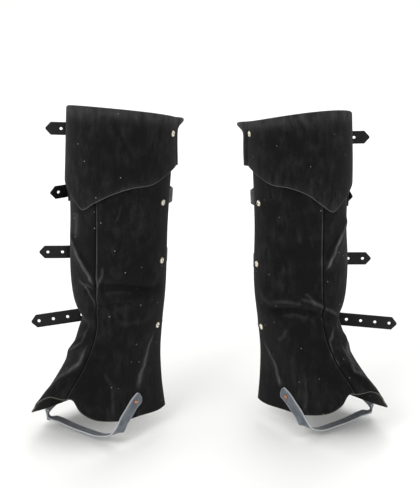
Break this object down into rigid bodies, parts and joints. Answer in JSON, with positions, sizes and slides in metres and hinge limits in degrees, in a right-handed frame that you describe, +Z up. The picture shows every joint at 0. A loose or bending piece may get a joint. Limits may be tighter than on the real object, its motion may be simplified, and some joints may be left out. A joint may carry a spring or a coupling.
{
  "type": "pair of boot covers",
  "caption": "Pair of open-backed suede leg covers worn over shoes, with a turned pointed cuff, buckled straps behind and a stirrup under each foot.",
  "frame": {"origin": "midway between the two legs at calf height, 0.36 m above the ground that the wearer stands on, where the wearer holds the pair up", "axes": "+X to the side of the wearer's left leg, -Y to the front of the pair, +Z up"},
  "size_m": [0.509, 0.2113, 0.4616],
  "materials": {
    "suede": "matt black suede with a worn grey bloom along folds and edges",
    "strap_leather": "black finished strap leather, semi-gloss, with burnished edges",
    "stirrup_leather": "slate grey leather with paler cut edges",
    "nickel": "nickel plate",
    "copper": "plain copper"
  },
  "bodies": {
    "root": {"right_medial_panel": "suede", "right_lateral_panel": "suede", "right_cuff": "suede", "right_strap_1": "strap_leather", "right_chape_1": "strap_leather", "right_buckle_1_frame": "nickel", "right_buckle_1_prong": "nickel", "right_rivet_1": "nickel", "right_chape_rivet_1": "nickel", "right_strap_2": "strap_leather", "right_chape_2": "strap_leather", "right_buckle_2_frame": "nickel", "right_buckle_2_prong": "nickel", "right_rivet_2": "nickel", "right_chape_rivet_2": "nickel", "right_strap_3": "strap_leather", "right_chape_3": "strap_leather", "right_buckle_3_frame": "nickel", "right_buckle_3_prong": "nickel", "right_rivet_3": "nickel", "right_chape_rivet_3": "nickel", "right_strap_4": "strap_leather", "right_chape_4": "strap_leather", "right_buckle_4_frame": "nickel", "right_buckle_4_prong": "nickel", "right_rivet_4": "nickel", "right_chape_rivet_4": "nickel", "right_stirrup": "stirrup_leather", "right_stirrup_rivet_medial": "copper", "right_stirrup_rivet_lateral": "copper", "left_medial_panel": "suede", "left_lateral_panel": "suede", "left_cuff": "suede", "left_strap_1": "strap_leather", "left_chape_1": "strap_leather", "left_buckle_1_frame": "nickel", "left_buckle_1_prong": "nickel", "left_rivet_1": "nickel", "left_chape_rivet_1": "nickel", "left_strap_2": "strap_leather", "left_chape_2": "strap_leather", "left_buckle_2_frame": "nickel", "left_buckle_2_prong": "nickel", "left_rivet_2": "nickel", "left_chape_rivet_2": "nickel", "left_strap_3": "strap_leather", "left_chape_3": "strap_leather", "left_buckle_3_frame": "nickel", "left_buckle_3_prong": "nickel", "left_rivet_3": "nickel", "left_chape_rivet_3": "nickel", "left_strap_4": "strap_leather", "left_chape_4": "strap_leather", "left_buckle_4_frame": "nickel", "left_buckle_4_prong": "nickel", "left_rivet_4": "nickel", "left_chape_rivet_4": "nickel", "left_stirrup": "stirrup_leather", "left_stirrup_rivet_medial": "copper", "left_stirrup_rivet_lateral": "copper"}
  },
  "joints": []
}
